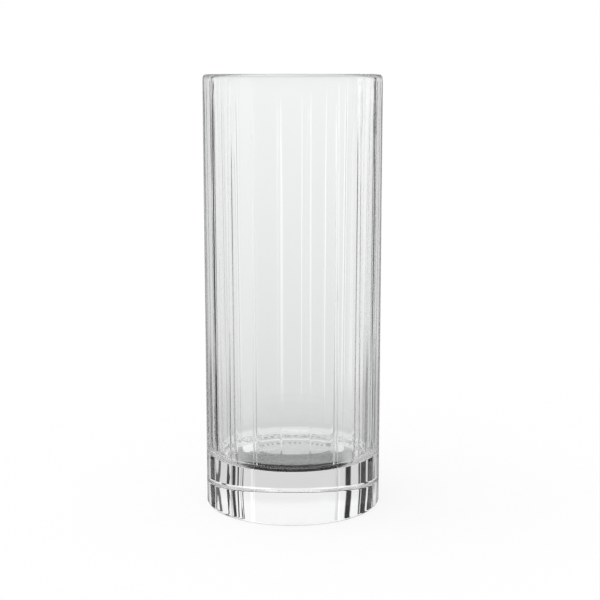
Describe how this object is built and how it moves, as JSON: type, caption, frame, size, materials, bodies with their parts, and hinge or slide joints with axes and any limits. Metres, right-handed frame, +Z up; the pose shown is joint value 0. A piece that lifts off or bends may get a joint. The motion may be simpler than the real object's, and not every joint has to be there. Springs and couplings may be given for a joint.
{
  "type": "highball glass",
  "caption": "Tall clear drinking glass with twenty shallow panels round a straight body, a rounded lip and a thick solid base.",
  "frame": {"origin": "centre of the foot, on the surface that the glass stands on", "axes": "+Z up, along the axis of the glass; +X through the middle of one panel"},
  "size_m": [0.068, 0.068, 0.166],
  "materials": {
    "clear_glass": "clear, fire-polished"
  },
  "bodies": {
    "root": {"glass_body": "clear_glass"}
  },
  "joints": []
}
